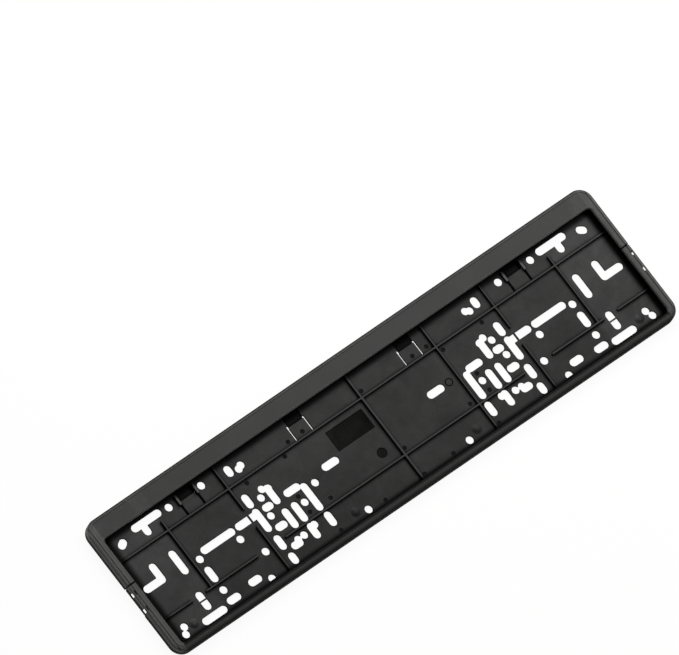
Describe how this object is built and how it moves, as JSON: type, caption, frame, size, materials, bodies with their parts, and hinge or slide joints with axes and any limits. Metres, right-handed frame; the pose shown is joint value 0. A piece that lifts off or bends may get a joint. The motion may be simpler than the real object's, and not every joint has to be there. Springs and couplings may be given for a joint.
{
  "type": "number plate holder",
  "caption": "Flat black moulded holder for a car number plate: a slotted tray with a lipped rim and a clip-on U-shaped strip with a wide band.",
  "frame": {"origin": "on the back plane, under the middle of the holder's outline", "axes": "+X along the plate, +Y towards the wide band, +Z out of the front"},
  "size_m": [0.532, 0.134, 0.01],
  "materials": {
    "moulded_black": "black polypropylene with a fine matt mould grain"
  },
  "bodies": {
    "root": {"base_plate": "moulded_black", "retaining_strip": "moulded_black"}
  },
  "joints": []
}
